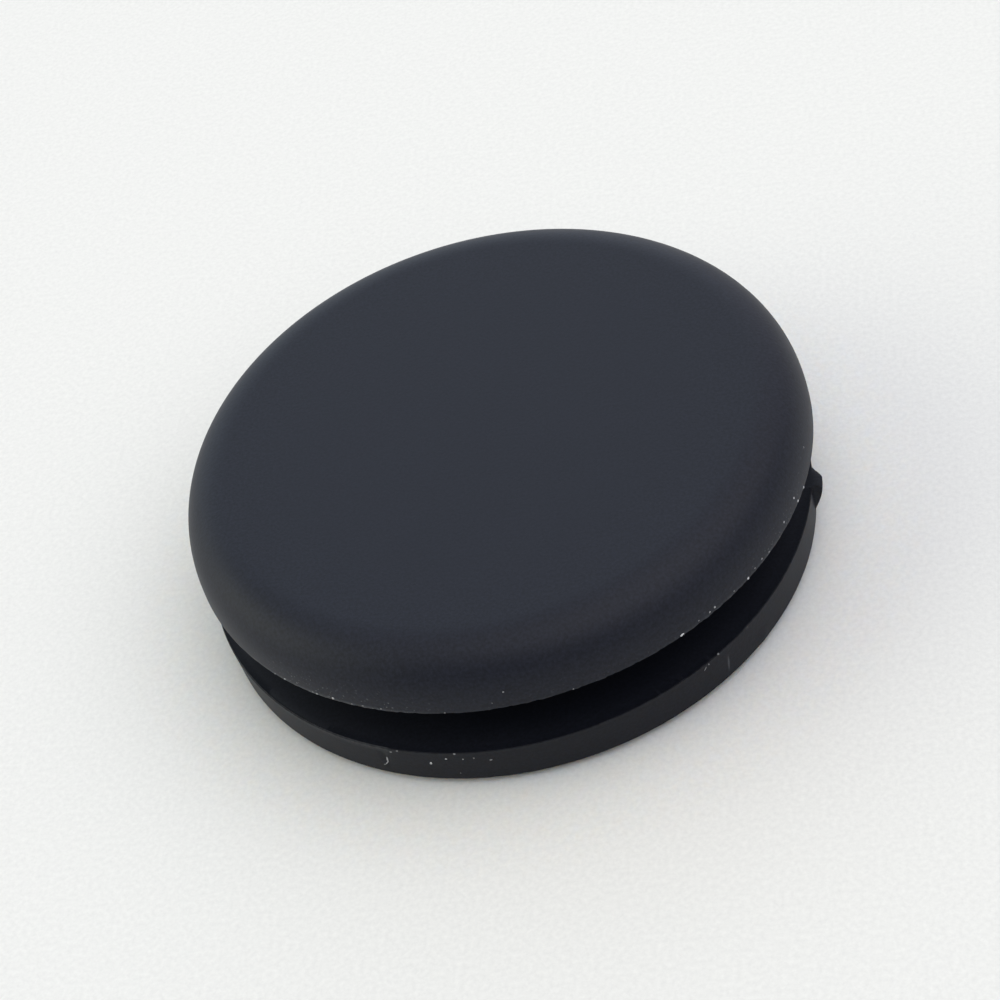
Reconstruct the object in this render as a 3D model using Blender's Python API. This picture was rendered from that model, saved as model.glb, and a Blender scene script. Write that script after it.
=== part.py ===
"""Thumbstick cap for the sliding pad of a handheld game controller.

The cap is one moulding, turned about +Z. From the top down it has a flat thumb face
with a wide rounded shoulder, an open groove round a slim neck, a thinner flange that
slides under the controller's shell, and a short stem end. A square socket runs up the
stem and pushes onto the pad's post. A small wedge on the flange's rim, on +X, is what
is left of the gate where the plastic flowed into the mould.

Units are metres, +Z is up, and the origin is the centre of the stem's end face.
"""
import math

import bmesh
import bpy

MM = 0.001

# Thumb disc, with its shoulder as a quarter of a superellipse
DISC_DIAMETER = 16.0 * MM
DISC_THICKNESS = 1.565 * MM
SHOULDER_WIDTH = 1.35 * MM
SHOULDER_DROP = 1.48 * MM
SHOULDER_FULLNESS = 2.3
DISC_EDGE_BREAK = 0.04 * MM

# Groove between the disc and the flange, with a fillet at each end of its neck
GROOVE_HEIGHT = 1.635 * MM
NECK_FILLET = 0.35 * MM

# Flange, a little narrower at its lower edge than at its upper one
FLANGE_DIAMETER = 15.65 * MM
FLANGE_THICKNESS = 1.09 * MM
FLANGE_DRAFT = 0.06 * MM
FLANGE_EDGE_BREAK = 0.05 * MM

# Square socket for the pad's post, and the plastic left above it
SOCKET_WIDTH = 2.4 * MM
SOCKET_CORNER = 0.35 * MM
SOCKET_LEAD_IN = 0.22 * MM
SOCKET_ROOF = 1.7 * MM

# Stem round the socket: thinnest wall, step out to the neck, and end below the flange
STEM_WALL = 1.15 * MM
NECK_STEP = 0.4 * MM
STEM_DROP = 0.12 * MM
STEM_FILLET = 0.05 * MM
STEM_EDGE_BREAK = 0.05 * MM

# Gate mark on the flange's rim: furthest out at its top, it fades into the rim
GATE_WIDTH = 0.45 * MM
GATE_HEIGHT = 0.9 * MM
GATE_REACH = 0.23 * MM
GATE_SET_DOWN = 0.03 * MM
GATE_ROOT = 0.6 * MM

# Fineness of the facets
SEGMENTS = 96
SHOULDER_STEPS = 12
FILLET_STEPS = 4
CORNER_STEPS = 4
GATE_STEPS = 6
SHARP_ANGLE = math.radians(35)
WELD_DISTANCE = 0.001 * MM
CUTTER_OVERRUN = 0.3 * MM

# Share of a gap or wall that its fillets or the gate may take at most
LARGEST_SHARE = 0.45

# Colour and finish of the moulded plastic
BLACK_PLASTIC = (0.018, 0.019, 0.023, 1.0)
PLASTIC_ROUGHNESS = 0.55

# Heights and radii that follow from the sizes above, from the stem's end upwards
FLANGE_BOTTOM = STEM_DROP
FLANGE_TOP = FLANGE_BOTTOM + FLANGE_THICKNESS
DISC_BOTTOM = FLANGE_TOP + GROOVE_HEIGHT
DISC_TOP = DISC_BOTTOM + DISC_THICKNESS
SOCKET_REACH = (SOCKET_WIDTH / 2 - SOCKET_CORNER) * math.sqrt(2) + SOCKET_CORNER
STEM_RADIUS = SOCKET_REACH + STEM_WALL
NECK_RADIUS = STEM_RADIUS + NECK_STEP


def clear_scene():
    """Empty the scene, so the script can be run again from the text editor."""
    for obj in list(bpy.data.objects):
        bpy.data.objects.remove(obj, do_unlink=True)


def shoulder_curve():
    """Quarter of a superellipse from the flat thumb face out to the upright wall.

    A fullness of 2 would be a plain ellipse. A higher one leaves the flat face
    more gently, so no line shows there.
    """
    drop = min(SHOULDER_DROP, DISC_THICKNESS - 2 * DISC_EDGE_BREAK)
    start = DISC_DIAMETER / 2 - SHOULDER_WIDTH
    power = 2 / SHOULDER_FULLNESS
    points = []
    for step in range(SHOULDER_STEPS + 1):
        angle = math.pi / 2 * step / SHOULDER_STEPS
        across = start + SHOULDER_WIDTH * math.sin(angle) ** power
        up = DISC_TOP - drop + drop * math.cos(angle) ** power
        points.append((across, up))
    return points


def disc_profile():
    """Thumb disc: the shoulder, then the upright wall and its crisp lower edge."""
    radius = DISC_DIAMETER / 2
    wall_foot = [
        (radius, DISC_BOTTOM + DISC_EDGE_BREAK),
        (radius - DISC_EDGE_BREAK, DISC_BOTTOM),
    ]
    return shoulder_curve() + wall_foot


def fillet(wall, level, size, first_angle):
    """Quarter circle between a round wall and a flat face above or below it."""
    above = first_angle == 90
    centre = (wall + size, level - size if above else level + size)
    points = []
    for step in range(FILLET_STEPS + 1):
        angle = math.radians(first_angle + 90 * step / FILLET_STEPS)
        across = centre[0] + size * math.cos(angle)
        up = centre[1] + size * math.sin(angle)
        points.append((across, up))
    return points


def neck_profile():
    """Neck between the disc and the flange, filleted into both."""
    size = min(NECK_FILLET, GROOVE_HEIGHT * LARGEST_SHARE)
    under_disc = fillet(NECK_RADIUS, DISC_BOTTOM, size, 90)
    on_flange = fillet(NECK_RADIUS, FLANGE_TOP, size, 180)
    return under_disc + on_flange


def flange_profile():
    """Flange's rim, drafted inwards towards its lower edge."""
    upper = FLANGE_DIAMETER / 2
    lower = upper - FLANGE_DRAFT
    edge = FLANGE_EDGE_BREAK
    return [
        (upper - edge, FLANGE_TOP),
        (upper, FLANGE_TOP - edge),
        (lower, FLANGE_BOTTOM + edge),
        (lower - edge, FLANGE_BOTTOM),
    ]


def stem_profile():
    """Stem end below the flange, with its chamfered foot."""
    size = min(STEM_FILLET, STEM_DROP * LARGEST_SHARE)
    foot = [
        (STEM_RADIUS, STEM_EDGE_BREAK),
        (STEM_RADIUS - STEM_EDGE_BREAK, 0.0),
    ]
    return fillet(STEM_RADIUS, FLANGE_BOTTOM, size, 90) + foot


def turned_body():
    """Spin the whole outer profile about +Z and close its two flat ends."""
    profile = disc_profile() + neck_profile() + flange_profile() + stem_profile()
    bm = bmesh.new()
    chain = [bm.verts.new((across, 0.0, up)) for across, up in profile]
    edges = [bm.edges.new(pair) for pair in zip(chain, chain[1:])]
    bmesh.ops.spin(
        bm,
        geom=chain + edges,
        cent=(0.0, 0.0, 0.0),
        axis=(0.0, 0.0, 1.0),
        angle=math.tau,
        steps=SEGMENTS,
        use_merge=True,
    )
    bmesh.ops.remove_doubles(bm, verts=bm.verts, dist=WELD_DISTANCE)
    rims = [edge for edge in bm.edges if edge.is_boundary]
    bmesh.ops.holes_fill(bm, edges=rims, sides=0)
    return new_object("thumbstick_cap", bm)


def rounded_square(half, corner, height):
    """Outline of a square with rounded corners, anticlockwise seen from above."""
    points = []
    for quarter in range(4):
        turn = math.radians(90 * quarter)
        reach = half - corner
        middle_x = reach * (math.cos(turn) - math.sin(turn))
        middle_y = reach * (math.sin(turn) + math.cos(turn))
        for step in range(CORNER_STEPS + 1):
            angle = turn + math.radians(90) * step / CORNER_STEPS
            x = middle_x + corner * math.cos(angle)
            y = middle_y + corner * math.sin(angle)
            points.append((x, y, height))
    return points


def socket_cutter():
    """Square plug with a flared foot, which leaves the socket and its lead-in."""
    half = SOCKET_WIDTH / 2
    flare = SOCKET_LEAD_IN + CUTTER_OVERRUN
    outlines = [
        rounded_square(half + flare, SOCKET_CORNER + flare, -CUTTER_OVERRUN),
        rounded_square(half, SOCKET_CORNER, SOCKET_LEAD_IN),
        rounded_square(half, SOCKET_CORNER, DISC_TOP - SOCKET_ROOF),
    ]
    return lofted("socket_cutter", outlines)


def gate_wedge():
    """Wedge of plastic left on the rim, its root sunk into the flange."""
    top = FLANGE_TOP - GATE_SET_DOWN
    height = min(GATE_HEIGHT, FLANGE_THICKNESS - GATE_SET_DOWN - FLANGE_EDGE_BREAK)
    root = FLANGE_DIAMETER / 2 - GATE_ROOT
    edge = []
    for step in range(GATE_STEPS + 1):
        share = step / GATE_STEPS
        down = GATE_SET_DOWN + height * share
        rim = FLANGE_DIAMETER / 2 - FLANGE_DRAFT * down / FLANGE_THICKNESS
        edge.append((rim + GATE_REACH * math.cos(math.pi / 2 * share), FLANGE_TOP - down))
    section = [(root, top)] + edge + [(root, top - height)]
    sides = (-GATE_WIDTH / 2, GATE_WIDTH / 2)
    return lofted("gate_wedge", [[(x, y, z) for x, z in section] for y in sides])


def lofted(name, outlines):
    """Closed solid whose skin runs through a row of outlines with equal counts."""
    bm = bmesh.new()
    rings = [[bm.verts.new(point) for point in outline] for outline in outlines]
    for ring, following in zip(rings, rings[1:]):
        for index in range(len(ring)):
            after = (index + 1) % len(ring)
            bm.faces.new((ring[index], ring[after], following[after], following[index]))
    bm.faces.new(rings[0])
    bm.faces.new(rings[-1])
    return new_object(name, bm)


def new_object(name, bm):
    """Turn a bmesh into an object in the scene, with its faces pointing outwards."""
    bmesh.ops.recalc_face_normals(bm, faces=bm.faces)
    mesh = bpy.data.meshes.new(name)
    bm.to_mesh(mesh)
    bm.free()
    obj = bpy.data.objects.new(name, mesh)
    bpy.context.scene.collection.objects.link(obj)
    return obj


def combine(body, tool, operation):
    """Apply one exact Boolean to the body and take its tool away."""
    modifier = body.modifiers.new(tool.name, "BOOLEAN")
    modifier.operation = operation
    modifier.solver = "EXACT"
    modifier.object = tool
    depsgraph = bpy.context.evaluated_depsgraph_get()
    result = bpy.data.meshes.new_from_object(body.evaluated_get(depsgraph))
    body.modifiers.clear()
    body.data = result
    bpy.data.objects.remove(tool, do_unlink=True)


def black_plastic():
    """Matte black moulded plastic with a slight cool tint."""
    material = bpy.data.materials.new("black_moulded_plastic")
    material.use_nodes = True
    shader = material.node_tree.nodes["Principled BSDF"]
    shader.inputs["Base Color"].default_value = BLACK_PLASTIC
    shader.inputs["Roughness"].default_value = PLASTIC_ROUGHNESS
    shader.inputs["Metallic"].default_value = 0.0
    material.diffuse_color = BLACK_PLASTIC
    return material


def main():
    clear_scene()
    cap = turned_body()
    combine(cap, gate_wedge(), "UNION")
    combine(cap, socket_cutter(), "DIFFERENCE")
    cap.data.name = "thumbstick_cap"
    cap.data.materials.clear()
    cap.data.materials.append(black_plastic())
    cap.data.shade_smooth()
    cap.data.set_sharp_from_angle(angle=SHARP_ANGLE)


main()
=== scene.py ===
# %% [markdown]
# # A thumbstick cap in black moulded plastic
#
# The object is one small moulding, 16 mm across: a flat thumb face with a rounded
# shoulder, an open groove, a flange below it and a short stem with a square socket.
# The imported solid already has these forms. This lesson makes the surface that a
# close-up shows: fine rings, crisp edges with a trace of flash, the gate mark, small
# scuffs, and a matte black plastic.

# %% [markdown]
# ## Load the frame
#

# %% Load the imported solid
import math

import bmesh
import bpy
import numpy as np
from mathutils import Matrix, Vector, noise


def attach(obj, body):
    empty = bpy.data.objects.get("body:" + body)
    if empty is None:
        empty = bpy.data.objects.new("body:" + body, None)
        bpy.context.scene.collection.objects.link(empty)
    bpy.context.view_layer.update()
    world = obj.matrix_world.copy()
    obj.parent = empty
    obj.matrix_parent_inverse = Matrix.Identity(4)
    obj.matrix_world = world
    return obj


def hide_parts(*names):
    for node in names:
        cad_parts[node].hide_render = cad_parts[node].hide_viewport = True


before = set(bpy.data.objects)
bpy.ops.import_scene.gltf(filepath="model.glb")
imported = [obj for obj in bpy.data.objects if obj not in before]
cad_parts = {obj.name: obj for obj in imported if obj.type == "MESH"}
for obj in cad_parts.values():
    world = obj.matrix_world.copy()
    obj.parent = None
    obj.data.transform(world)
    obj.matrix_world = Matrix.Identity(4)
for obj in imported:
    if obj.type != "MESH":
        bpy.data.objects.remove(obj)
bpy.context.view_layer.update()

# %% [markdown]
# ## Sizes read from the solid
#
# The cap is turned about +Z, so its sizes are the radii and heights of the rings in
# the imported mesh. Reading them here keeps the fine surface exactly on the solid, also
# when the solid changes. The half away from the gate mark holds only clean rings.

# %% Measure the rings of the solid
MM = 0.001
SAME_LEVEL = 0.001 * MM
NODE = "thumbstick_cap"

corners = np.array([v.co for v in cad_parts[NODE].data.vertices])
radius_of = np.hypot(corners[:, 0], corners[:, 1])
plain_half = corners[:, 0] < 0


def levels(inner, outer):
    """Heights, lowest first, of the solid's rings with a radius in this range."""
    chosen = plain_half & (radius_of > inner) & (radius_of < outer)
    return sorted(set(np.round(corners[chosen, 2], 7).tolist()))


def ring_radius(height, outer=1.0):
    """Radius of the widest ring of the solid at this height and inside a limit."""
    chosen = plain_half & (abs(corners[:, 2] - height) < SAME_LEVEL) & (radius_of < outer)
    return float(radius_of[chosen].max())


disc_radius = float(radius_of[plain_half].max())
cap_top = float(corners[:, 2].max())
rim_levels = levels(0.9 * disc_radius, 1.1 * disc_radius)
flange_bottom, flange_bottom_edge, flange_top_edge, flange_top = rim_levels[:4]
disc_bottom, disc_bottom_edge, shoulder_foot = rim_levels[4:7]
flange_top_radius = ring_radius(flange_top_edge)
flange_bottom_radius = ring_radius(flange_bottom_edge)
face_radius = ring_radius(cap_top)
print("disc radius", round(disc_radius / MM, 3), "face radius", round(face_radius / MM, 3))
print("levels in mm", [round(z / MM, 3) for z in rim_levels[:7]])
print("top of the cap in mm", round(cap_top / MM, 3))

# %% [markdown]
# ## Colours as written, in linear light
#
# Blender mixes light in linear values, and a colour picked from a screen is sRGB. One
# function turns a hex colour into the linear numbers that a shader expects.

# %% One function for every colour


def linear(hex_colour):
    """Turn an sRGB colour such as #161923 into linear red, green, blue and alpha."""
    channels = []
    for start in (1, 3, 5):
        value = int(hex_colour[start:start + 2], 16) / 255
        if value <= 0.04045:
            channels.append(value / 12.92)
        else:
            channels.append(((value + 0.055) / 1.055) ** 2.4)
    return (*channels, 1.0)


print("a very dark navy in linear light:", [round(v, 4) for v in linear("#161923")[:3]])

# %% [markdown]
# ## Where the columns of the mesh stand
#
# A turned piece could be a profile with a Screw modifier. This one also has marks that
# belong to one place on its rim, so its mesh is a grid instead: rings up and down the
# profile, columns round the axis. Columns stand closer together where the ragged edge,
# the gate mark, the chip and the scratch need a finer step.

# %% Set the columns round the axis
# Angles of the marks, in degrees from +X: the gate's wedge, the chip, the kink of the
# upper edge beside it, the scratch, and the low step of the rim
GATE = 0.0
CHIP = 251.7
KINK = 253.2
SCRATCH = 318.5
STEP = 326.6

CLOSEST_COLUMNS = 0.06


def column_angles():
    """Angles of the mesh columns in degrees, closer together at the marks."""
    all_round = np.arange(0.0, 360.0, 0.7)
    torn_front = np.arange(232.0, 352.0, 0.35)
    round_gate = np.arange(-1.0, 5.6, 0.14) + GATE
    round_scratch = np.arange(-0.6, 0.6, 0.1) + SCRATCH
    angles = np.concatenate([all_round, torn_front, round_gate, round_scratch])
    angles = np.unique(np.round(np.mod(angles, 360.0), 3))
    wide_enough = np.append(True, np.diff(angles) > CLOSEST_COLUMNS)
    return angles[wide_enough]


turn = column_angles()
turn_cos = np.cos(np.radians(turn))
turn_sin = np.sin(np.radians(turn))
print(len(turn), "columns, the closest", round(float(np.diff(turn).min()), 3), "degrees apart")

# %% [markdown]
# ## Where along the rim something happens
#
# A mark fades in and out along the rim. Three soft shapes are enough for all of them: a
# bump round one angle, a smooth step, and a stretch with two soft ends.

# %% Soft shapes along the rim


def away(angle):
    """Signed distance of every column from one angle, in degrees."""
    return (turn - angle + 180.0) % 360.0 - 180.0


def bell(distance, width):
    """Soft bump: 1 in the middle, near 0 at twice the width."""
    return np.exp(-((distance / width) ** 2))


def ramp(distance, width):
    """Smooth step from 0 to 1 across this width, centred on a distance of 0."""
    share = np.clip(distance / width + 0.5, 0.0, 1.0)
    return share * share * (3.0 - 2.0 * share)


def stretch(middle, half, fade):
    """1 along a stretch of the rim round this angle, and 0 beyond its soft ends."""
    return ramp(half - abs(away(middle)), fade)


print("columns within a degree of the gate:", int((abs(away(GATE)) < 1.0).sum()))

# %% [markdown]
# ## Uneven edges
#
# The parting edges of the real moulding aren't perfect circles. Where the mould halves
# meet, a film of plastic a few hundredths of a millimetre thick stays behind and is torn
# off at random. Smooth noise round the circle gives that unevenness: long waves, a
# rough line and fine teeth. The same seed gives the same edge in every run.

# %% Noise that runs round a circle


def ragged(seed, pieces_per_mm):
    """Noise from -1 to 1 for each column, that closes on itself round the circle."""
    reach = disc_radius / MM * pieces_per_mm
    values = [
        noise.noise(Vector((reach * c, reach * s, 17.3 * seed)))
        for c, s in zip(turn_cos, turn_sin)
    ]
    return np.array(values)


disc_rag = ragged(1, 5.0)
disc_wave = ragged(2, 0.8)
disc_teeth = ragged(5, 11.0)
flange_rag = ragged(3, 5.0)
flange_wave = ragged(4, 0.9)
flange_teeth = ragged(6, 11.0)
lowest, highest = float(disc_rag.min()), float(disc_rag.max())
print("the edge noise spans", round(lowest, 2), "to", round(highest, 2))

# %% [markdown]
# ## The profile, ring by ring
#
# Each ring has a radius and a height for every column. It also says how far it follows
# the lower mould half, and how pale a crisp edge is painted: pale wear on the stem, and
# a painted highlight on the edges of the disc and the flange. Rings lie close together
# beside an edge, so the smooth shading turns inside the edge and the flat faces stay flat.

# %% Helpers that collect the rings
EDGE_STEPS = 4
SUPPORT = 0.03 * MM

rings = []


def add_ring(radius, height, lower_half=0.0, wear_and_highlight=0.0):
    """Add one ring to the profile; a value may differ from column to column."""
    ones = np.ones(len(turn))
    rings.append([radius * ones, height * ones, lower_half * ones, wear_and_highlight * ones])


def add_edge(middle, size, first, last, lift=0.0, out=0.0, lower_half=0.0, wear_and_highlight=0.0):
    """Round an edge over with a quarter circle between two directions in degrees."""
    for step in range(EDGE_STEPS + 1):
        angle = math.radians(first + (last - first) * step / EDGE_STEPS)
        weight = math.sin(math.pi * (step + 0.5) / (EDGE_STEPS + 1))
        across = middle[0] + size * math.cos(angle) + out * weight
        up = middle[1] + size * math.sin(angle) + lift * weight
        add_ring(across, up, lower_half, wear_and_highlight)


print("an edge is rounded in", EDGE_STEPS, "steps, with rings", SUPPORT / MM, "mm beside it")

# %% [markdown]
# ## Thumb face and shoulder
#
# The face is flat and its shoulder is a quarter of a superellipse, taken from the
# solid's own rings: the face ends at its top ring, and the shoulder ends at the first
# ring with the full radius. A superellipse starts flatter than an ellipse, so no line
# shows where the face ends. The solid has a dozen rings here and this mesh has more,
# so it works out the curve's fullness from one ring in the middle.

# %% Thumb face, shoulder and upright wall
SHOULDER_RINGS = 34
FACE_SHARES = (0.02, 0.15, 0.35, 0.55, 0.75, 0.88, 0.96)

shoulder_width = disc_radius - face_radius
shoulder_drop = cap_top - shoulder_foot
shoulder_levels = [z for z in levels(face_radius, disc_radius) if z > shoulder_foot]
middle_level = shoulder_levels[len(shoulder_levels) // 2]
middle_out = (ring_radius(middle_level) - face_radius) / shoulder_width
middle_up = (middle_level - shoulder_foot) / shoulder_drop


def fullness_through(out, up):
    """Power of the superellipse that passes through this point of the shoulder."""
    low, high = 1.5, 4.0
    for _ in range(40):
        power = (low + high) / 2
        if out ** power + up ** power > 1:
            low = power
        else:
            high = power
    return power


fullness = fullness_through(middle_out, middle_up)
print("the shoulder's fullness is", round(fullness, 3))

for share in FACE_SHARES:
    add_ring(face_radius * share, cap_top)
for step in range(SHOULDER_RINGS + 1):
    angle = math.pi / 2 * step / SHOULDER_RINGS
    across = face_radius + shoulder_width * math.sin(angle) ** (2 / fullness)
    up = shoulder_foot + shoulder_drop * math.cos(angle) ** (2 / fullness)
    add_ring(across, up)

# %% [markdown]
# ## Lower edge of the thumb disc
#
# This is one of the mould's parting edges, and crisper than the solid's: its break is
# a hundredth of a millimetre. A fine burr hangs about two hundredths below it, toothed
# where the flash tore off. On the left and on the right its colour is painted paler, a
# painted highlight where the burr catches the light, and shows as a thin, uneven line.

# %% Disc edge and the ceiling of the groove
CRISP = 0.3
FLAT_RING = 0.75 * disc_radius

disc_break = CRISP * (disc_bottom_edge - disc_bottom)
# Paler stretches of the disc's lower edge: painted highlight where the burr catches the light
paler_left = 0.85 * stretch(240.0, 20.0, 18.0)
paler_right = 0.4 * stretch(328.0, 20.0, 12.0)
burr_and_highlight = 0.05 + paler_left + paler_right
burr_depth = (0.016 + 0.008 * burr_and_highlight) * MM

add_ring(disc_radius, disc_bottom + 3 * SUPPORT)
add_ring(disc_radius, disc_bottom + 1.5 * SUPPORT, wear_and_highlight=0.5 * burr_and_highlight)
add_edge(
    (disc_radius - disc_break, disc_bottom + disc_break),
    disc_break,
    0,
    -90,
    lift=(0.01 * disc_rag + 0.03 * disc_teeth - 0.006 * disc_wave) * MM - burr_depth,
    out=0.006 * disc_teeth * MM,
    wear_and_highlight=burr_and_highlight,
)
add_ring(disc_radius - disc_break - 2 * SUPPORT, disc_bottom)
add_ring(FLAT_RING, disc_bottom)
print(len(rings), "rings down to the groove")

# %% [markdown]
# ## Neck in the groove
#
# The neck joins the two mould halves. In the photograph the flange sits a little
# sideways from the disc, as parts do when the two halves of a mould don't close
# exactly on each other, so the neck leans over between them.

# %% Neck with a fillet at each end
FILLET_RINGS = 6
MISMATCH = (-0.133 * MM, -0.045 * MM)

neck_limit = 0.5 * disc_radius
outside_socket = 0.3 * disc_radius
inner_levels = levels(outside_socket, neck_limit)
neck_levels = [z for z in inner_levels if flange_top <= z <= disc_bottom]
neck_radius = min(ring_radius(z, neck_limit) for z in neck_levels)
neck_fillet = ring_radius(disc_bottom, neck_limit) - neck_radius


def fillet_angles(first):
    """Directions through a quarter turn, in radians, one for each fillet ring."""
    steps = range(FILLET_RINGS + 1)
    return [math.radians(first + 90 * step / FILLET_RINGS) for step in steps]


def neck_lean(height):
    """Share of the mould mismatch that the neck follows at this height."""
    return float((disc_bottom - height) / (disc_bottom - flange_top))


for angle in fillet_angles(90):
    across = neck_radius + neck_fillet * (1 + math.cos(angle))
    up = disc_bottom - neck_fillet * (1 - math.sin(angle))
    add_ring(across, up, neck_lean(up))
add_ring(neck_radius, (disc_bottom + flange_top) / 2, 0.5)
for angle in fillet_angles(180):
    across = neck_radius + neck_fillet * (1 + math.cos(angle))
    up = flange_top + neck_fillet * (1 + math.sin(angle))
    add_ring(across, up, neck_lean(up))
print("neck radius", round(neck_radius / MM, 3), "with fillets of", round(neck_fillet / MM, 3))

# %% [markdown]
# ## Flange rim with its marks
#
# The rim is where the real cap shows how it was made. On +X stands the wedge that the
# gate left: flat on top, furthest out there, and fading into the rim downwards. It is
# steep on its near side and runs out over half a millimetre on its far side. Near the
# front left a small chip bends the upper edge, and left of it that edge is broken more
# and painted lighter, a painted highlight where the broken edge catches the light. On the
# right the edge is torn more finely. Apart from that highlight, all of these are small
# changes of radius or height at some columns.

# %% Marks on the rim, as changes of radius
GATE_NEAR_HALF = 0.07 * MM
GATE_HEIGHT = 0.9 * MM
GATE_NEAR_SIDE = 0.06 * MM
GATE_FAR_HALF = 0.44 * MM
GATE_FAR_SIDE = 0.52 * MM

gate_reach = 1.15 * (float(corners[:, 0].max()) - flange_top_radius)
gate_across = flange_top_radius * np.radians(away(GATE))
gate_near = ramp(GATE_NEAR_HALF + gate_across, GATE_NEAR_SIDE)
gate_far = ramp(GATE_FAR_HALF - gate_across, GATE_FAR_SIDE)
gate_inside = gate_near * gate_far
torn_side = stretch(318.0, 30.0, 12.0)
# Left of the chip the upper edge is broken more; its pale colour there is a painted highlight
broken_and_highlit_side = stretch(KINK - 27.0, 27.0, 0.8) * ramp(away(KINK) + 45.0, 30.0)


def gate_bulge(height):
    """How far the gate mark stands out of the rim at this height."""
    down = (flange_top - height) / GATE_HEIGHT
    if down >= 1:
        return 0.0 * gate_inside
    return gate_reach * math.cos(math.pi / 2 * max(down, 0.0)) * gate_inside


def rim_unevenness(height):
    """Slight waves of the rim, a dent under the chip, and the step low on the right."""
    share = (height - flange_bottom) / (flange_top - flange_bottom)
    waves = 0.005 * flange_wave * MM
    dent = -0.025 * bell(away(CHIP), 0.7) * math.exp(-(((share - 0.62) / 0.3) ** 2)) * MM
    low_step = 0.02 * bell(away(STEP) - 1.5, 1.6) * max(0.0, 1 - 2 * share) * MM
    return waves + dent + low_step


print("the gate mark reaches", round(gate_reach / MM, 3), "mm out of the rim")

# %% [markdown]
# ## Flange, from the neck out over its rim
#
# The upper edge is rounded down by a few hundredths of a millimetre, more on the left,
# and the lower edge is lifted by about as much, so that light from the table comes in
# under it. The flat faces bend only in the last quarter of a millimetre before an edge,
# where a ring of its own holds them flat.

# %% Rings of the flange
RIM_RINGS = 12
BEND = 8 * SUPPORT

top_break = CRISP * (flange_top - flange_top_edge) + 0.012 * broken_and_highlit_side * MM
bottom_break = 2 * CRISP * (flange_bottom_edge - flange_bottom)
bottom_lift = 0.045 * MM
edge_drop = -0.015 * bell(away(KINK), 0.9) - 0.01 * broken_and_highlit_side
top_teeth = (0.012 + 0.024 * torn_side) * flange_teeth
more_left = 0.02 * stretch(232.0, 12.0, 14.0)
more_right = 0.012 * stretch(310.0, 10.0, 10.0)
edge_sink = (0.028 + more_left + more_right) * MM

add_ring(FLAT_RING, flange_top, 1.0)
add_ring(flange_top_radius - BEND, flange_top, 1.0)
add_ring(flange_top_radius - top_break - SUPPORT, flange_top - 0.9 * edge_sink, 1.0)
add_edge(
    (flange_top_radius - top_break, flange_top - top_break),
    top_break,
    90,
    0,
    lift=(0.01 * flange_rag + top_teeth + edge_drop) * MM - edge_sink,
    out=gate_bulge(flange_top) + (0.006 + 0.008 * torn_side) * flange_teeth * MM,
    lower_half=1.0,
    wear_and_highlight=0.1 + 0.5 * broken_and_highlit_side,
)
first_level, last_level = flange_top - 0.14 * MM, flange_bottom + 0.12 * MM
for step in range(RIM_RINGS + 1):
    height = first_level + (last_level - first_level) * step / RIM_RINGS
    share = (flange_top_edge - height) / (flange_top_edge - flange_bottom_edge)
    plain = flange_top_radius + (flange_bottom_radius - flange_top_radius) * share
    # Pale colour on the rim's first ring on the left: painted highlight
    worn_and_highlit = 0.25 * broken_and_highlit_side if step == 0 else 0.0
    add_ring(plain + gate_bulge(height) + rim_unevenness(height), height, 1.0, worn_and_highlit)
add_edge(
    (flange_bottom_radius - bottom_break, flange_bottom + bottom_break),
    bottom_break,
    0,
    -90,
    lift=bottom_lift + (0.008 * flange_rag + 0.02 * flange_teeth) * MM,
    out=0.006 * disc_teeth * MM + rim_unevenness(flange_bottom),
    lower_half=1.0,
)
add_ring(flange_bottom_radius - bottom_break - SUPPORT, flange_bottom + 0.9 * bottom_lift, 1.0)
add_ring(flange_bottom_radius - BEND, flange_bottom, 1.0)
add_ring(0.6 * disc_radius, flange_bottom, 1.0)
print(len(rings), "rings down to the flange's underside")

# %% [markdown]
# ## Stem end
#
# Below the flange the stem stands out a little, with a fillet at its root and a small
# chamfer on its foot, which the cap stands on.

# %% Stem below the flange
stem_levels = [z for z in inner_levels if z <= flange_bottom]
stem_radius = min(ring_radius(z, neck_limit) for z in stem_levels[1:])
stem_fillet = ring_radius(flange_bottom, neck_limit) - stem_radius
foot_radius = ring_radius(0.0, neck_limit)
foot_break = stem_levels[1]

for angle in fillet_angles(90):
    across = stem_radius + stem_fillet * (1 + math.cos(angle))
    up = flange_bottom - stem_fillet * (1 - math.sin(angle))
    add_ring(across, up, 1.0)
add_ring(stem_radius, foot_break, 1.0, 0.5)
add_ring(foot_radius, 0.0, 1.0, 0.5)
add_ring(foot_radius - SUPPORT, 0.0, 1.0)
print("stem radius", round(stem_radius / MM, 3), "foot radius", round(foot_radius / MM, 3))

# %% [markdown]
# ## Square socket
#
# The socket pushes onto a square post. Its rings are rounded squares: for each column,
# the radius is the distance from the axis to the square's outline in that direction.
# So the same grid can turn from a circle into a square without any Boolean.

# %% Socket from its lead-in up to its roof
socket_limit = 0.9 * foot_radius
socket_levels = sorted(set(np.round(corners[radius_of < socket_limit, 2], 7).tolist()))
socket_roof = socket_levels[-1]
lead_in = socket_levels[1]


def square_sizes(height):
    """Half width and corner radius of the socket's rounded square at this height."""
    chosen = (abs(corners[:, 2] - height) < SAME_LEVEL) & (radius_of < socket_limit)
    half = float(corners[chosen, 0].max())
    reach = float(radius_of[chosen].max())
    return half, (half * math.sqrt(2) - reach) / (math.sqrt(2) - 1)


def square_reach(half, corner):
    """Distance from the axis to a rounded square's outline, for each column."""
    folded = np.radians(abs((turn + 45.0) % 90.0 - 45.0))
    along, beside = np.cos(folded), np.sin(folded)
    middle = half - corner
    onto = middle * (along + beside)
    round_part = onto + np.sqrt(np.maximum(onto ** 2 - 2 * middle ** 2 + corner ** 2, 0.0))
    return np.where(half * beside / along <= middle, half / along, round_part)


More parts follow.
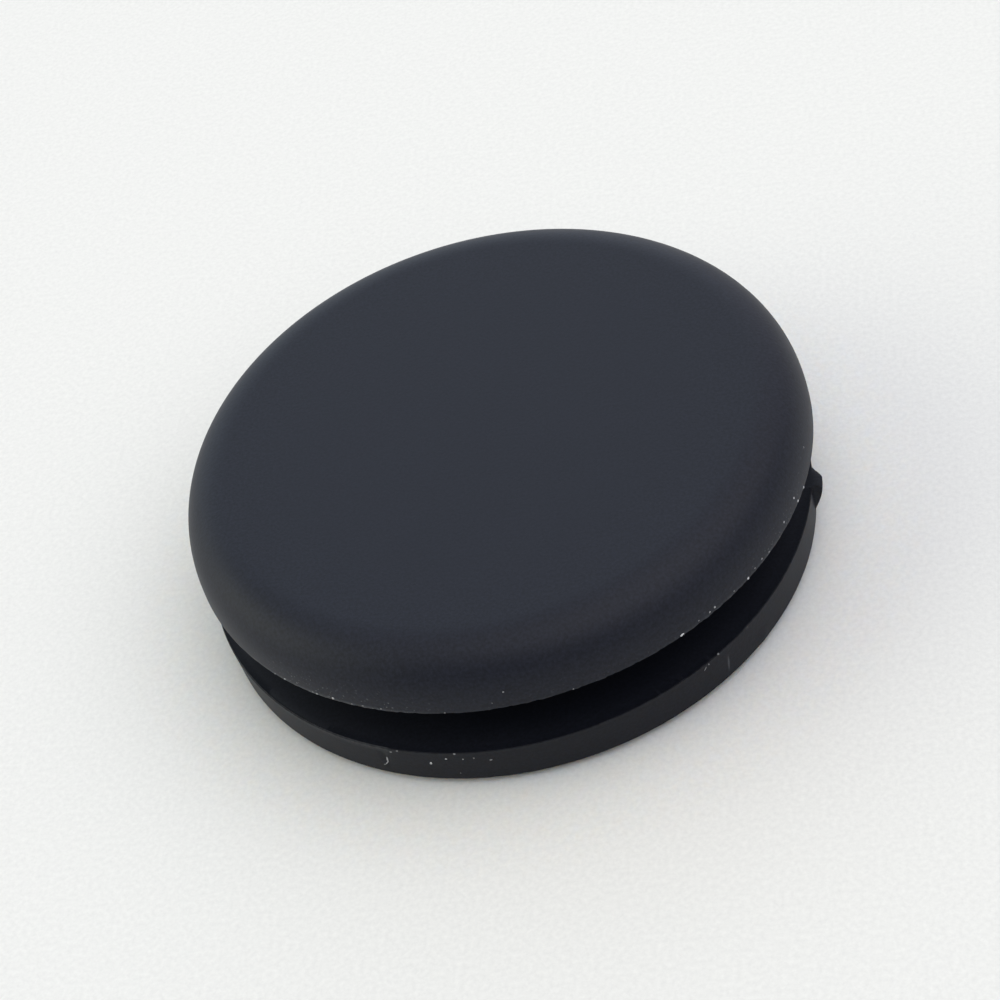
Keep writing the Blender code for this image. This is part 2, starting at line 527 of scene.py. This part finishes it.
mouth = square_sizes(0.0)
plug = square_sizes(lead_in)
add_ring(square_reach(mouth[0] + SUPPORT, mouth[1] + SUPPORT), 0.0, 1.0, 0.3)
add_ring(square_reach(*mouth), 0.0, 1.0, 0.6)
add_ring(square_reach(mouth[0] - SUPPORT, mouth[1] - SUPPORT), SUPPORT, 1.0, 0.3)
add_ring(square_reach(plug[0] + SUPPORT, plug[1] + SUPPORT), lead_in - SUPPORT, 1.0)
add_ring(square_reach(*plug), lead_in, 1.0)
for share in (0.03, 0.35, 0.7, 0.97):
    add_ring(square_reach(*plug), lead_in + (socket_roof - lead_in) * share, 1.0)
add_ring(square_reach(*plug), socket_roof, 1.0)
for share in (0.95, 0.5, 0.1):
    add_ring(square_reach(plug[0] * share, plug[1] * share), socket_roof, 1.0)
print("socket half width", round(plug[0] / MM, 3), "roof at", round(socket_roof / MM, 3))

# %% [markdown]
# ## Build the mesh
#
# The rings become one closed skin: a fan of triangles at the middle of the thumb face,
# bands of four-sided faces all the way down and up into the socket, and a fan on the
# socket's roof. The rings of the lower mould half are shifted sideways here.

# %% Join the rings into one closed skin


def ring_points(ring):
    """Places of one ring's points, shifted with the mould half that it follows."""
    radius, height, lower_half, _ = ring
    x = radius * turn_cos + MISMATCH[0] * lower_half
    y = radius * turn_sin + MISMATCH[1] * lower_half
    return np.column_stack([x, y, height])


def skin_faces(columns, bands):
    """Faces between a first point, rings of points and a last point."""
    faces = []
    last = 1 + bands * columns
    for column in range(columns):
        after = (column + 1) % columns
        faces.append((0, 1 + column, 1 + after))
        for band in range(bands - 1):
            upper, lower = 1 + band * columns, 1 + (band + 1) * columns
            faces.append((upper + column, lower + column, lower + after, upper + after))
        foot = last - columns
        faces.append((last, foot + after, foot + column))
    return faces


rows = [ring_points(ring) for ring in rings]
points = np.vstack([rows[0].mean(axis=0), *rows, rows[-1].mean(axis=0)])
cap_mesh = bpy.data.meshes.new("moulded_cap")
cap_mesh.from_pydata(points.tolist(), [], skin_faces(len(turn), len(rings)))
cap_mesh.shade_smooth()
cap_mesh.set_sharp_from_angle(angle=math.radians(50))
moulded_cap = bpy.data.objects.new("moulded_cap", cap_mesh)
bpy.context.scene.collection.objects.link(moulded_cap)
print(len(points), "points and", len(cap_mesh.polygons), "faces in", len(rings), "rings")

# %% [markdown]
# ## Numbers that the material reads
#
# A mesh can hold a number for each of its points under a name, and a material can read
# it. So the wear and the painted edge highlights, the scratch, the dust and the flange's
# share for its painted shade follow the surface and look the same from every side,
# without any image.

# %% Store wear and painted highlights, flange share, dust and scratch in the mesh


def scratch_mark(ring):
    """Pale scratch down the rim, near the front right."""
    share = (ring[1] - flange_bottom) / (flange_top - flange_bottom)
    on_rim = ring[0] > 0.9 * flange_bottom_radius
    lean = away(SCRATCH) - 1.1 * (share - 0.45)
    return bell(lean, 0.16) * np.clip(4.5 * (0.26 - abs(share - 0.45)), 0.0, 1.0) * on_rim


def dust_cover(ring):
    """How much fine dust clings to a ring: a band above the disc's lower edge."""
    on_wall = ring[0] > 0.9 * disc_radius
    beside = stretch(245.0, 14.0, 16.0) + stretch(340.0, 12.0, 16.0)
    near_edge = np.exp(-(((ring[1] - disc_bottom) / (0.5 * MM)) ** 2))
    return on_wall * near_edge * (0.15 + 0.85 * beside)


def store(name, per_ring):
    """Write one number for each point of the mesh as a named attribute."""
    values = np.concatenate([[0.0], *per_ring, [0.0]])
    attribute = cap_mesh.attributes.new(name, "FLOAT", "POINT")
    attribute.data.foreach_set("value", values)
    return float(values.max())


print("largest wear", store("edges_worn_and_highlit", [ring[3] for ring in rings]))
print("flange share", store("flange", [np.minimum(3 * ring[2], 1.0) for ring in rings]))
print("most dust", round(store("dust", [dust_cover(ring) for ring in rings]), 2))
print("largest scratch", round(store("scratch", [scratch_mark(ring) for ring in rings]), 2))

# %% [markdown]
# ## Crumbs on the edges
#
# Small pale crumbs sit on the edges: bits of torn flash that turned white where the
# plastic was stretched, and a little dust. Each is a tiny closed lump, pressed out of
# round, half sunk into the surface that it sits on.

# %% Place and shape the crumbs
# Half thickness of a crumb, and how deep its middle is sunk, in mm
CRUMB_RISE = 0.022
CRUMB_SUNK = 0.008

# Angle, mm below the flange's top, length, width, tilt from upright, paleness
RIM_CRUMBS = [
    (251.9, 0.50, 0.20, 0.032, 4, 0.8),
    (251.5, 0.66, 0.13, 0.03, 40, 0.6),
    (250.9, 0.74, 0.09, 0.03, 70, 0.3),
    (253.5, 0.13, 0.08, 0.05, 70, 0.35),
    (260.6, 0.43, 0.10, 0.07, 20, 0.85),
    (263.8, 0.23, 0.07, 0.06, 50, 0.65),
    (266.9, 0.25, 0.05, 0.05, 0, 0.45),
    (265.7, 0.04, 0.07, 0.05, 80, 0.35),
    (268.9, 0.23, 0.06, 0.05, 10, 0.25),
    (271.8, 0.35, 0.08, 0.05, 75, 0.3),
    (265.4, 0.81, 0.06, 0.03, 0, 0.15),
    (254.9, 0.05, 0.07, 0.05, 80, 0.3),
    (313.4, 0.15, 0.12, 0.03, 50, 0.35),
    (314.3, 0.09, 0.05, 0.04, 0, 0.3),
    (316.7, 0.02, 0.06, 0.06, 0, 0.3),
]
# Angle, mm above the disc's lower edge, length, width, tilt from upright, paleness
DISC_CRUMBS = [
    (245.4, 0.05, 0.09, 0.07, 70, 0.85),
    (241.9, 0.01, 0.07, 0.05, 80, 0.6),
    (241.0, 0.02, 0.05, 0.04, 80, 0.4),
    (237.6, 0.12, 0.04, 0.04, 0, 0.3),
    (234.4, 0.02, 0.07, 0.05, 80, 0.8),
    (231.9, 0.01, 0.05, 0.04, 80, 0.4),
    (249.2, 0.02, 0.05, 0.04, 80, 0.3),
    (251.4, 0.04, 0.05, 0.04, 80, 0.35),
    (254.9, 0.04, 0.05, 0.04, 80, 0.35),
    (266.4, 0.01, 0.06, 0.04, 80, 0.2),
    (274.9, 0.20, 0.04, 0.04, 0, 0.1),
    (277.3, 0.48, 0.05, 0.05, 0, 0.4),
    (288.6, 0.01, 0.05, 0.04, 80, 0.25),
    (309.2, 0.02, 0.13, 0.07, 75, 1.0),
    (312.9, 0.08, 0.04, 0.04, 0, 0.3),
    (315.4, 0.08, 0.06, 0.05, 20, 0.55),
    (316.6, 0.10, 0.07, 0.06, 0, 0.6),
    (321.3, 0.06, 0.05, 0.04, 70, 0.3),
    (325.0, 0.01, 0.09, 0.07, 60, 1.0),
    (327.1, 0.08, 0.05, 0.04, 60, 0.4),
    (329.3, 0.10, 0.06, 0.04, 70, 0.45),
    (331.5, 0.03, 0.06, 0.05, 70, 0.4),
    (337.6, 0.20, 0.07, 0.05, 20, 0.75),
    (342.7, 0.30, 0.07, 0.06, 10, 0.9),
    (343.8, 0.04, 0.08, 0.07, 60, 1.0),
    (347.3, 0.01, 0.08, 0.07, 60, 0.95),
    (352.8, 0.60, 0.05, 0.05, 0, 0.4),
]


def crumb_points(seed):
    """Unit lump: the corners of a fine ball, pressed out of round by smooth noise."""
    ball = bmesh.new()
    bmesh.ops.create_icosphere(ball, subdivisions=2, radius=1.0)
    for vert in ball.verts:
        vert.co *= 1 + 0.35 * noise.noise(1.4 * vert.co + Vector((7.1 * seed, 0, 0)))
    return ball


def surface_radius(height):
    """Radius of the rim or of the thumb disc at this height."""
    if height < flange_top:
        share = (flange_top_edge - height) / (flange_top_edge - flange_bottom_edge)
        return flange_top_radius + (flange_bottom_radius - flange_top_radius) * share
    above = min(max(0.0, (height - shoulder_foot) / shoulder_drop), 1.0)
    return face_radius + shoulder_width * (1 - above ** fullness) ** (1 / fullness)


def press_on(target, spot, height, seed, shift):
    """Add one crumb to a bmesh, seated on the cap's surface."""
    angle, _, length, width, tilt, paleness = spot
    out = Vector((math.cos(math.radians(angle)), math.sin(math.radians(angle)), 0.0))
    beside = Vector((-out.y, out.x, 0.0))
    upright = Vector((0.0, 0.0, 1.0))
    lean = math.radians(tilt)
    along = upright * math.cos(lean) + beside * math.sin(lean)
    across = beside * math.cos(lean) - upright * math.sin(lean)
    seat = out * (surface_radius(height) - CRUMB_SUNK * MM) + upright * height
    seat += Vector((*shift, 0.0))
    lump = crumb_points(seed)
    whitened = target.verts.layers.float["whitened"]
    fresh = {}
    for vert in lump.verts:
        x, y, z = vert.co
        beside_seat = 0.5 * MM * (along * length * x + across * width * y)
        place = seat + beside_seat + out * CRUMB_RISE * MM * z
        fresh[vert.index] = target.verts.new(place)
        fresh[vert.index][whitened] = paleness
    for face in lump.faces:
        target.faces.new([fresh[vert.index] for vert in face.verts])
    lump.free()


crumb_mesh = bmesh.new()
crumb_mesh.verts.layers.float.new("whitened")
for number, spot in enumerate(RIM_CRUMBS):
    press_on(crumb_mesh, spot, flange_top - spot[1] * MM, number, MISMATCH)
for number, spot in enumerate(DISC_CRUMBS):
    press_on(crumb_mesh, spot, disc_bottom + spot[1] * MM, 50 + number, (0.0, 0.0))
bmesh.ops.recalc_face_normals(crumb_mesh, faces=crumb_mesh.faces)
crumbs = bpy.data.objects.new("edge_crumbs", bpy.data.meshes.new("edge_crumbs"))
crumb_mesh.to_mesh(crumbs.data)
crumb_mesh.free()
crumbs.data.shade_smooth()
bpy.context.scene.collection.objects.link(crumbs)
print(len(RIM_CRUMBS) + len(DISC_CRUMBS), "crumbs,", len(crumbs.data.polygons), "faces")

# %% [markdown]
# ## Nodes with one helper
#
# A material is a net of nodes. One small function adds a node, sets its settings and
# gives each input a value or a link, so that each finish reads as a list of steps.

# %% Helpers for nodes


def add_node(tree, kind, inputs=None, **settings):
    """Add a node; give its settings, and a value or a linked socket to its inputs."""
    node = tree.nodes.new(kind)
    for name, value in settings.items():
        setattr(node, name, value)
    for name, value in (inputs or {}).items():
        if isinstance(value, bpy.types.NodeSocket):
            tree.links.new(value, node.inputs[name])
        else:
            node.inputs[name].default_value = value
    return node


def new_material(name):
    """Empty node material and its tree."""
    material = bpy.data.materials.new(name)
    material.use_nodes = True
    material.node_tree.nodes.clear()
    return material, material.node_tree


# %% [markdown]
# ## Black plastic as it left the mould
#
# Caps like this are moulded in ABS, coloured through, in a mould whose walls were
# spark eroded. That leaves a fine even grain, which scatters the light: the face looks
# matte, a little blue where it faces the sky, and paler towards the edge of what you
# see. The real grain is about a twentieth of a millimetre, two pixels of the render,
# so it is drawn at 0.08 mm to show.
#
# The base colour is a very dark navy that drifts a little over a millimetre or two,
# and the grain makes it lighter and darker. A thumb has rubbed the middle of the face,
# so the grain is faint there and reaches its full strength at the shoulder. The flange
# is painted darker than the disc, as painted shade.

# %% Navy with the mould's grain
GRAIN = 0.08 * MM
MOTTLE = 1.6 * MM
RUBBED_GRAIN = 0.35
# The flange's colour is made darker by this factor: painted shade
FLANGE_PAINTED_SHADE = 0.62


def grain_strength(tree, place):
    """Strength of the grain: faint where a thumb rubs the face, full further out."""
    from_axis = add_node(
        tree,
        "ShaderNodeVectorMath",
        {0: place, 1: (1.0, 1.0, 0.0)},
        operation="MULTIPLY",
    )
    far_out = add_node(
        tree,
        "ShaderNodeVectorMath",
        {0: from_axis.outputs["Vector"]},
        operation="LENGTH",
    )
    unrubbed = add_node(
        tree,
        "ShaderNodeMapRange",
        {
            "Value": far_out.outputs["Value"],
            "From Min": 0.7 * face_radius,
            "From Max": disc_radius,
            "To Min": RUBBED_GRAIN,
        },
    )
    return unrubbed.outputs["Result"]


def grain_shade(tree, place, grain):
    """Factor on the colour: darker in the grain's pits, lighter on its peaks."""
    strength = grain_strength(tree, place)
    in_pits = add_node(
        tree,
        "ShaderNodeMapRange",
        {"Value": strength, "To Min": 1.0, "To Max": 0.65},
    )
    on_peaks = add_node(
        tree,
        "ShaderNodeMapRange",
        {"Value": strength, "To Min": 1.0, "To Max": 1.35},
    )
    shade = add_node(
        tree,
        "ShaderNodeMapRange",
        {
            "Value": grain,
            "From Min": 0.3,
            "From Max": 0.7,
            "To Min": in_pits.outputs["Result"],
            "To Max": on_peaks.outputs["Result"],
        },
    )
    return shade.outputs["Result"]


def navy_with_painted_flange_shade(tree, place, grain, mottle):
    """Colour of the plastic as it left the mould, with painted shade on the flange."""
    navy = add_node(
        tree,
        "ShaderNodeMix",
        {0: mottle, 6: linear("#161923"), 7: linear("#1A1D27")},
        data_type="RGBA",
    )
    # Painted shade: the colour is made darker on the flange
    flange = add_node(tree, "ShaderNodeAttribute", attribute_name="flange")
    painted_flange_shade = add_node(
        tree,
        "ShaderNodeMapRange",
        {"Value": flange.outputs["Fac"], "To Min": 1.0, "To Max": FLANGE_PAINTED_SHADE},
    )
    shade = add_node(
        tree,
        "ShaderNodeMath",
        {0: grain_shade(tree, place, grain), 1: painted_flange_shade.outputs["Result"]},
        operation="MULTIPLY",
    )
    grained = add_node(
        tree,
        "ShaderNodeVectorMath",
        {0: navy.outputs[2], "Scale": shade.outputs["Value"]},
        operation="SCALE",
    )
    return grained.outputs["Vector"]


print("grain of", GRAIN / MM, "mm, and a drift of colour over", MOTTLE / MM, "mm")

# %% [markdown]
# ## What handling left on it, and painted edge highlights
#
# Edges are pale in patches: pale wear at the stem, and a painted highlight on the
# disc's and the flange's edges, where they catch the light. The scratch is pale all
# along, and fine dust sits above the disc's lower edge. Each is a mix towards a paler
# grey, and the number that the mesh holds for it says where and how much. Real dust is
# finer than a pixel, so its specks are drawn at 0.06 mm, and only a few.

# %% Pale wear, painted highlights, scratch and dust
WEAR_AND_HIGHLIGHT_PATCH = 0.09 * MM
GRIT = 0.06 * MM


def with_wear_and_highlight(tree, place, colour):
    """Colour with pale patches on the edges (pale wear, and painted highlights), and with the
    scratch.
    """
    patches = add_node(
        tree,
        "ShaderNodeTexNoise",
        {"Vector": place, "Scale": 1 / WEAR_AND_HIGHLIGHT_PATCH, "Detail": 1.0, "Roughness": 0.5},
    )
    spots = add_node(
        tree,
        "ShaderNodeMapRange",
        {
            "Value": patches.outputs["Fac"],
            "From Min": 0.35,
            "From Max": 0.65,
            "To Min": 0.25,
            "To Max": 0.5,
        },
        interpolation_type="SMOOTHSTEP",
    )
    edge = add_node(tree, "ShaderNodeAttribute", attribute_name="edges_worn_and_highlit")
    wear_and_highlight = add_node(
        tree,
        "ShaderNodeMath",
        {0: edge.outputs["Fac"], 1: spots.outputs["Result"]},
        operation="MULTIPLY",
    )
    # Pale grey on the edges: wear on the stem, painted highlight on the disc's and flange's
    # edges
    worn_and_highlit = add_node(
        tree,
        "ShaderNodeMix",
        {0: wear_and_highlight.outputs["Value"], 6: colour, 7: linear("#5A5C60")},
        data_type="RGBA",
    )
    scratch = add_node(tree, "ShaderNodeAttribute", attribute_name="scratch")
    scratched = add_node(
        tree,
        "ShaderNodeMix",
        {0: scratch.outputs["Fac"], 6: worn_and_highlit.outputs[2], 7: linear("#55585E")},
        data_type="RGBA",
    )
    return scratched.outputs[2]


def with_dust(tree, place, colour):
    """Colour with a few pale specks of dust."""
    grits = add_node(
        tree,
        "ShaderNodeTexNoise",
        {"Vector": place, "Scale": 1 / GRIT, "Detail": 0.0},
    )
    specks = add_node(
        tree,
        "ShaderNodeMapRange",
        {"Value": grits.outputs["Fac"], "From Min": 0.72, "From Max": 0.88, "To Max": 0.4},
    )
    dust = add_node(tree, "ShaderNodeAttribute", attribute_name="dust")
    dusting = add_node(
        tree,
        "ShaderNodeMath",
        {0: dust.outputs["Fac"], 1: specks.outputs["Result"]},
        operation="MULTIPLY",
    )
    dusted = add_node(
        tree,
        "ShaderNodeMix",
        {0: dusting.outputs["Value"], 6: colour, 7: linear("#9A9C9E")},
        data_type="RGBA",
    )
    return dusted.outputs[2]


print("wear in patches of", WEAR_AND_HIGHLIGHT_PATCH / MM, "mm, specks of", GRIT / MM, "mm")

# %% [markdown]
# ## How the plastic shines
#
# Spark-eroded ABS is about half rough, and handling makes that vary a little. It bends
# light by about 1.5, but shows less gloss than that, because the pits of the grain
# swallow part of it. The grain is also a bump, a few thousandths of a millimetre high.

# %% The cap's plastic
PIT_DEPTH = 0.006 * MM


def spark_eroded_abs():
    """Black ABS from a spark-eroded mould, with pale wear and painted highlights on its edges,
    and painted shade on its flange.
    """
    material, tree = new_material("black_abs_spark_eroded")
    place = add_node(tree, "ShaderNodeTexCoord").outputs["Object"]
    grain = add_node(
        tree,
        "ShaderNodeTexNoise",
        {"Vector": place, "Scale": 1 / GRAIN, "Detail": 2.0, "Roughness": 0.6},
    ).outputs["Fac"]
    mottle = add_node(
        tree,
        "ShaderNodeTexNoise",
        {"Vector": place, "Scale": 1 / MOTTLE, "Detail": 3.0, "Roughness": 0.55},
    ).outputs["Fac"]
    moulded = navy_with_painted_flange_shade(tree, place, grain, mottle)
    handled_and_highlit = with_dust(tree, place, with_wear_and_highlight(tree, place, moulded))
    roughness = add_node(
        tree,
        "ShaderNodeMapRange",
        {"Value": mottle, "To Min": 0.47, "To Max": 0.55},
    )
    bump = add_node(
        tree,
        "ShaderNodeBump",
        {"Height": grain, "Strength": 0.5, "Distance": PIT_DEPTH},
    )
    shader = add_node(
        tree,
        "ShaderNodeBsdfPrincipled",
        {
            "Base Color": handled_and_highlit,
            "Roughness": roughness.outputs["Result"],
            "IOR": 1.5,
            "Specular IOR Level": 0.2,
            "Normal": bump.outputs["Normal"],
        },
    )
    add_node(tree, "ShaderNodeOutputMaterial", {"Surface": shader.outputs["BSDF"]})
    return material


moulded_cap.data.materials.append(spark_eroded_abs())
print("plastic:", moulded_cap.data.materials[0].name)

# %% [markdown]
# ## Stress-whitened crumbs
#
# Where black plastic is stretched until it tears, tiny voids open in it and scatter
# light, so the crumbs look grey to white and fully matte.

# %% The crumbs' plastic
WHITENING = 0.04 * MM


def stress_whitened_abs():
    """Torn black ABS, whitened more or less where it was stretched."""
    material, tree = new_material("stress_whitened_abs")
    place = add_node(tree, "ShaderNodeTexCoord").outputs["Object"]
    cloud = add_node(
        tree,
        "ShaderNodeTexNoise",
        {"Vector": place, "Scale": 1 / WHITENING, "Detail": 2.0, "Roughness": 0.5},
    )
    whitened = add_node(tree, "ShaderNodeAttribute", attribute_name="whitened")
    uneven = add_node(
        tree,
        "ShaderNodeMapRange",
        {"Value": cloud.outputs["Fac"], "From Min": 0.3, "From Max": 0.7, "To Min": 0.7},
    )
    share = add_node(
        tree,
        "ShaderNodeMath",
        {0: whitened.outputs["Fac"], 1: uneven.outputs["Result"]},
        operation="MULTIPLY",
    )
    grey = add_node(
        tree,
        "ShaderNodeMix",
        {0: share.outputs["Value"], 6: linear("#3A3C40"), 7: linear("#D0D2D4")},
        data_type="RGBA",
    )
    shader = add_node(
        tree,
        "ShaderNodeBsdfPrincipled",
        {"Base Color": grey.outputs[2], "Roughness": 0.8, "IOR": 1.5},
    )
    add_node(tree, "ShaderNodeOutputMaterial", {"Surface": shader.outputs["BSDF"]})
    return material


crumbs.data.materials.append(stress_whitened_abs())
print("crumbs:", crumbs.data.materials[0].name)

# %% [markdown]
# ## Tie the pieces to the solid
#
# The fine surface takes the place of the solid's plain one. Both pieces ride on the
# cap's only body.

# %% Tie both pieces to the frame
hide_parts(NODE)
for piece in (moulded_cap, crumbs):
    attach(piece, "root")
print("pieces:", moulded_cap.name, crumbs.name)

# %% [markdown]
# ## Table
#
# The cap stands on a sheet of white card. It fills the view to the horizon, so that no
# edge of it shows. Card has short fibres of a tenth of a millimetre or two, which the
# front of the photograph shows as a faint grain. At this scale light also travels
# inside the card for most of a millimetre before it leaves, red the furthest, so the
# shadow under the rim is soft and has a warm edge. Subsurface scattering does that. It
# is slow to work out, so it fades away a little beyond the rim, where the card is
# evenly lit.

# %% White card under the cap
TABLE_HALF = 3.0
FIBRE = 0.13 * MM
FIBRE_RISE = 0.02 * MM
LIGHT_TRAVEL = (0.9 * MM, 0.75 * MM, 0.6 * MM)
LIT_THROUGH = (1.6 * MM, 3.2 * MM)


def white_card():
    """Uncoated white card with a faint fibre grain."""
    material, tree = new_material("uncoated_white_card")
    place = add_node(tree, "ShaderNodeTexCoord").outputs["Object"]
    fibres = add_node(
        tree,
        "ShaderNodeTexNoise",
        {"Vector": place, "Scale": 1 / FIBRE, "Detail": 2.0, "Roughness": 0.6},
    )
    tint = add_node(
        tree,
        "ShaderNodeMix",
        {0: fibres.outputs["Fac"], 6: linear("#D6D6D3"), 7: linear("#EAEAE6")},
        data_type="RGBA",
    )
    bump = add_node(
        tree,
        "ShaderNodeBump",
        {"Height": fibres.outputs["Fac"], "Strength": 0.35, "Distance": FIBRE_RISE},
    )
    from_axis = add_node(tree, "ShaderNodeVectorMath", {0: place}, operation="LENGTH")
    beside_rim = add_node(
        tree,
        "ShaderNodeMapRange",
        {
            "Value": from_axis.outputs["Value"],
            "From Min": flange_top_radius + LIT_THROUGH[0],
            "From Max": flange_top_radius + LIT_THROUGH[1],
            "To Min": 1.0,
            "To Max": 0.0,
        },
        interpolation_type="SMOOTHSTEP",
    )
    shader = add_node(
        tree,
        "ShaderNodeBsdfPrincipled",
        {
            "Base Color": tint.outputs[2],
            "Roughness": 0.9,
            "Specular IOR Level": 0.1,
            "Subsurface Weight": beside_rim.outputs["Result"],
            "Subsurface Radius": LIGHT_TRAVEL,
            "Subsurface Scale": 1.0,
            "Normal": bump.outputs["Normal"],
        },
    )
    add_node(tree, "ShaderNodeOutputMaterial", {"Surface": shader.outputs["BSDF"]})
    return material


table_mesh = bpy.data.meshes.new("white_card")
quarters = [(-1, -1), (1, -1), (1, 1), (-1, 1)]
table_corners = [(TABLE_HALF * x, TABLE_HALF * y, 0) for x, y in quarters]
table_mesh.from_pydata(table_corners, [], [(0, 1, 2, 3)])
table_mesh.materials.append(white_card())
table = bpy.data.objects.new("white_card", table_mesh)
bpy.context.scene.collection.objects.link(table)
print("card of", 2 * TABLE_HALF, "m")

# %% [markdown]
# ## Camera
#
# The photograph was taken from close by, looking down at about 44 degrees, with the
# camera turned a little about its own axis. The lens and the distance come from how
# much smaller the far side of the rings looks than the near side.

# %% Camera at the photograph's viewing angle
CAMERA_TURN = math.radians(-71.2)
CAMERA_RISE = math.radians(43.5)
CAMERA_ROLL = math.radians(18.867)
CAMERA_DISTANCE = 75.509 * MM
AIM = (0.0478 * MM, -0.8217 * MM)

backwards = Vector((
    math.cos(CAMERA_RISE) * math.cos(CAMERA_TURN),
    math.cos(CAMERA_RISE) * math.sin(CAMERA_TURN),
    math.sin(CAMERA_RISE),
))
level_right = Vector((-math.sin(CAMERA_TURN), math.cos(CAMERA_TURN), 0.0))
level_up = backwards.cross(level_right)
right = math.cos(CAMERA_ROLL) * level_right - math.sin(CAMERA_ROLL) * level_up
up = math.sin(CAMERA_ROLL) * level_right + math.cos(CAMERA_ROLL) * level_up
aim_point = Vector((0.0, 0.0, disc_bottom)) + AIM[0] * right + AIM[1] * up
stand = aim_point + CAMERA_DISTANCE * backwards

lens = bpy.data.cameras.new("camera")
lens.sensor_width = 36.0
lens.lens = 108.0
lens.clip_start = 0.001
lens.clip_end = 20.0
camera = bpy.data.objects.new("camera", lens)
looking = Matrix((right, up, backwards)).transposed().to_4x4()
camera.matrix_world = Matrix.Translation(stand) @ looking
bpy.context.scene.collection.objects.link(camera)
bpy.context.scene.camera = camera
print("camera", [round(v / MM, 2) for v in stand], "mm from the stem's end")

# %% [markdown]
# ## Light
#
# The light on the real cap is that of a plain white room: cool daylight from beyond the
# cap, slightly warmer light thrown back from the left, and a bright ceiling, more on
# the camera's side. Low down on that side it is dim. Each of these is a soft glow in
# the world, so no lamp gives a hard shadow.

# %% Soft glows in the world
FAR_SIDE = CAMERA_TURN + math.pi
ROOM_LEVEL = 0.16

# Turn from the far side, rise and width in degrees, strength, colour
GLOWS = {
    "daylight from the far right": (-40, 0, 50, 0.83, "#F0F0FF"),
    "window beyond the cap": (10, 15, 50, 1.42, "#E2F1FF"),
    "white wall on the left": (80, 20, 40, 2.40, "#FDFFEF"),
    "bright ceiling": (-120, 65, 60, 1.94, "#FBFAFF"),
}


def towards(turn_degrees, rise_degrees):
    """Direction from the cap: an angle from the far side, and one above the table."""
    angle = FAR_SIDE + math.radians(turn_degrees)
    rise = math.radians(rise_degrees)
    return Vector((
        math.cos(rise) * math.cos(angle),
        math.cos(rise) * math.sin(angle),
        math.sin(rise),
    ))


def white_room():
    """World that adds the soft glows to an even room light."""
    world = bpy.data.worlds.new("white_room")
    world.use_nodes = True
    tree = world.node_tree
    tree.nodes.clear()
    direction = add_node(tree, "ShaderNodeTexCoord").outputs["Generated"]
    light = add_node(tree, "ShaderNodeRGB")
    light.outputs[0].default_value = (ROOM_LEVEL, ROOM_LEVEL, ROOM_LEVEL, 1.0)
    total = light.outputs[0]
    for turn_degrees, rise_degrees, width, strength, colour in GLOWS.values():
        facing = add_node(
            tree,
            "ShaderNodeVectorMath",
            {0: direction, 1: towards(turn_degrees, rise_degrees)},
            operation="DOT_PRODUCT",
        )
        glow = add_node(
            tree,
            "ShaderNodeMapRange",
            {
                "Value": facing.outputs["Value"],
                "From Min": math.cos(math.radians(width)),
                "From Max": 1.0,
                "To Max": strength,
            },
            interpolation_type="SMOOTHSTEP",
        )
        tinted = add_node(
            tree,
            "ShaderNodeVectorMath",
            {0: linear(colour)[:3], "Scale": glow.outputs["Result"]},
            operation="SCALE",
        )
        total = add_node(
            tree,
            "ShaderNodeVectorMath",
            {0: total, 1: tinted.outputs["Vector"]},
            operation="ADD",
        ).outputs["Vector"]
    background = add_node(tree, "ShaderNodeBackground", {"Color": total, "Strength": 1.0})
    add_node(tree, "ShaderNodeOutputWorld", {"Surface": background.outputs["Background"]})
    return world


bpy.context.scene.world = white_room()
print("room light with", len(GLOWS), "soft glows:", ", ".join(GLOWS))

# %% [markdown]
# ## View settings
#
# The Standard view shows a colour as it was written.

# %% Standard view
bpy.context.scene.view_settings.view_transform = "Standard"
